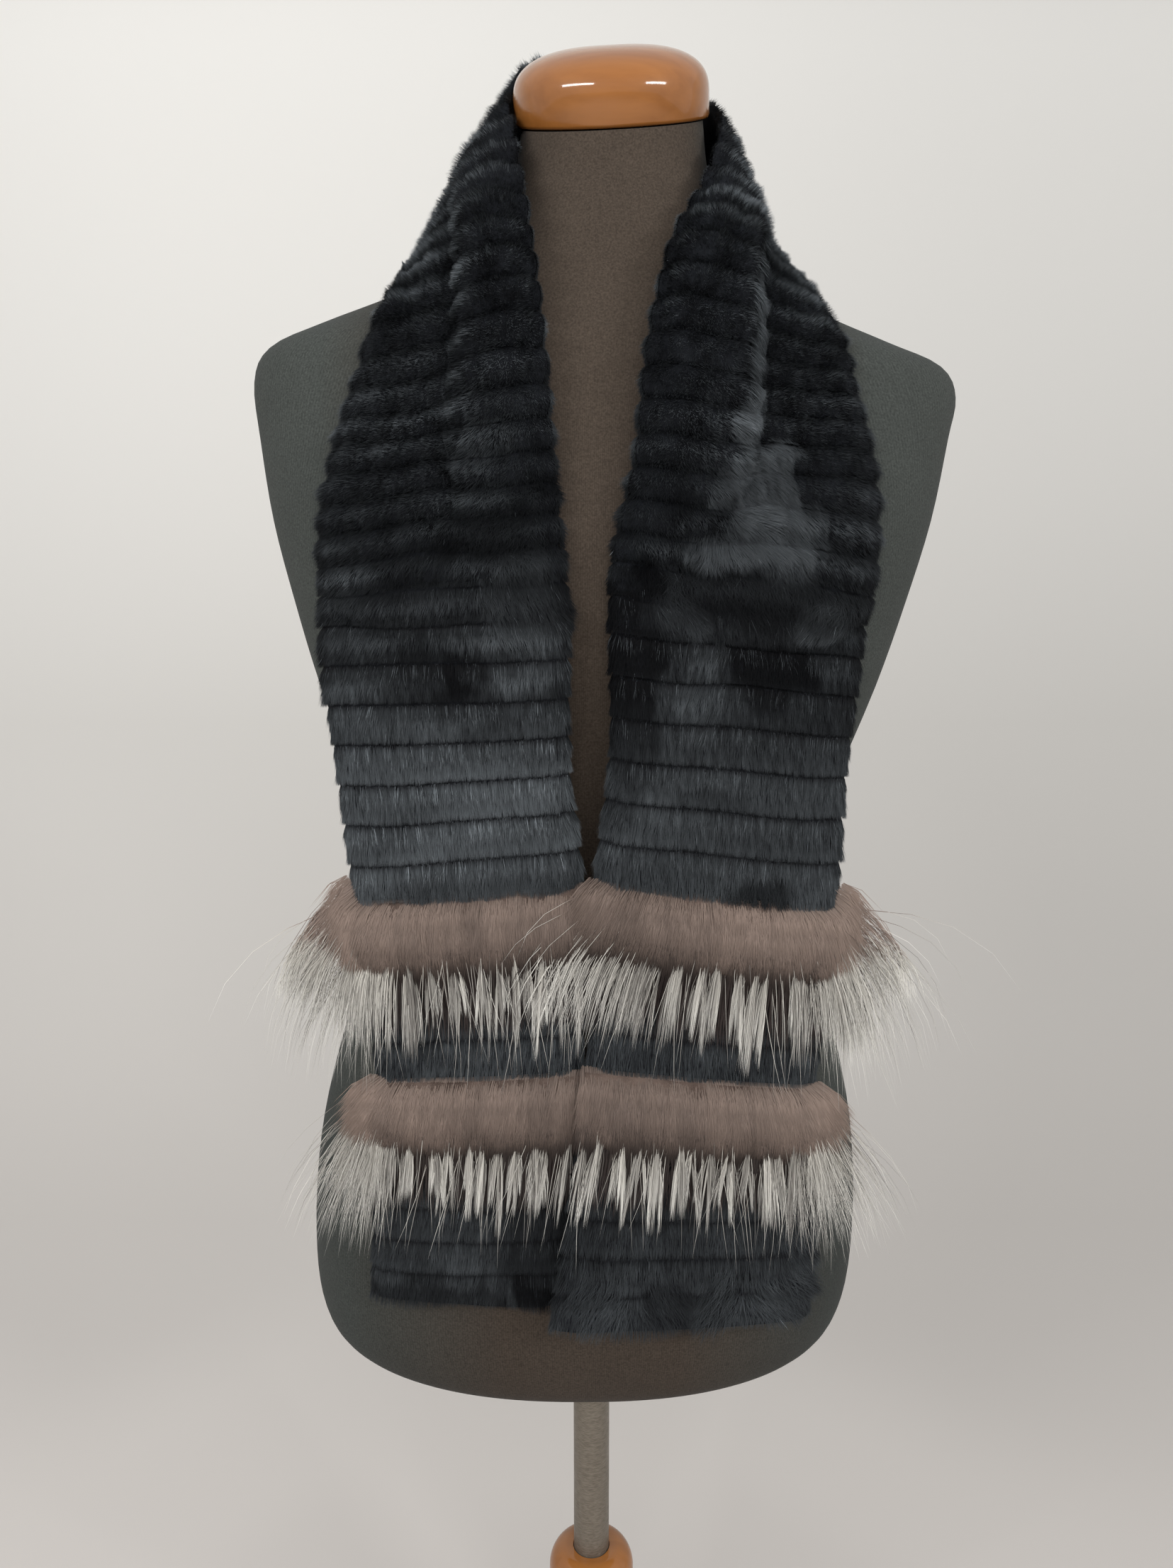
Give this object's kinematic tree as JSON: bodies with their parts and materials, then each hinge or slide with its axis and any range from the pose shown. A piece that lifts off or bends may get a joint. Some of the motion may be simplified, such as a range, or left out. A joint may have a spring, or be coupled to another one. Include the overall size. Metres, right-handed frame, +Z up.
{
  "type": "fur scarf on dress form",
  "caption": "Long fur scarf of sheared strips with long-haired fox bands near its ends, hung round the neck of a limbless jersey dress form on a turned wooden stand.",
  "frame": {"origin": "middle of the foot's flat underside", "axes": "+Z up, -Y towards the front of the dress form, +X to the right of someone facing it"},
  "size_m": [0.4184, 0.32, 1.2203],
  "materials": {
    "sheared_fur": "sheared rabbit fur in strips, near black with a blue-grey sheen",
    "fox_fur": "long silver fox fur, taupe underfur with white guard hair",
    "jersey": "matt dark grey jersey",
    "varnished_wood": "glossy caramel varnish",
    "grey_metal": "satin grey"
  },
  "bodies": {
    "root": {"neck_wrap": "sheared_fur", "fall_left": "sheared_fur", "fall_right": "sheared_fur", "middle_left": "sheared_fur", "middle_right": "sheared_fur", "end_left": "sheared_fur", "end_right": "sheared_fur", "fox_upper_left": "fox_fur", "fox_upper_right": "fox_fur", "fox_lower_left": "fox_fur", "fox_lower_right": "fox_fur", "torso": "jersey", "neck_cap": "varnished_wood", "stand_pole": "grey_metal", "stand_hub": "varnished_wood", "stand_foot": "varnished_wood"}
  },
  "joints": []
}
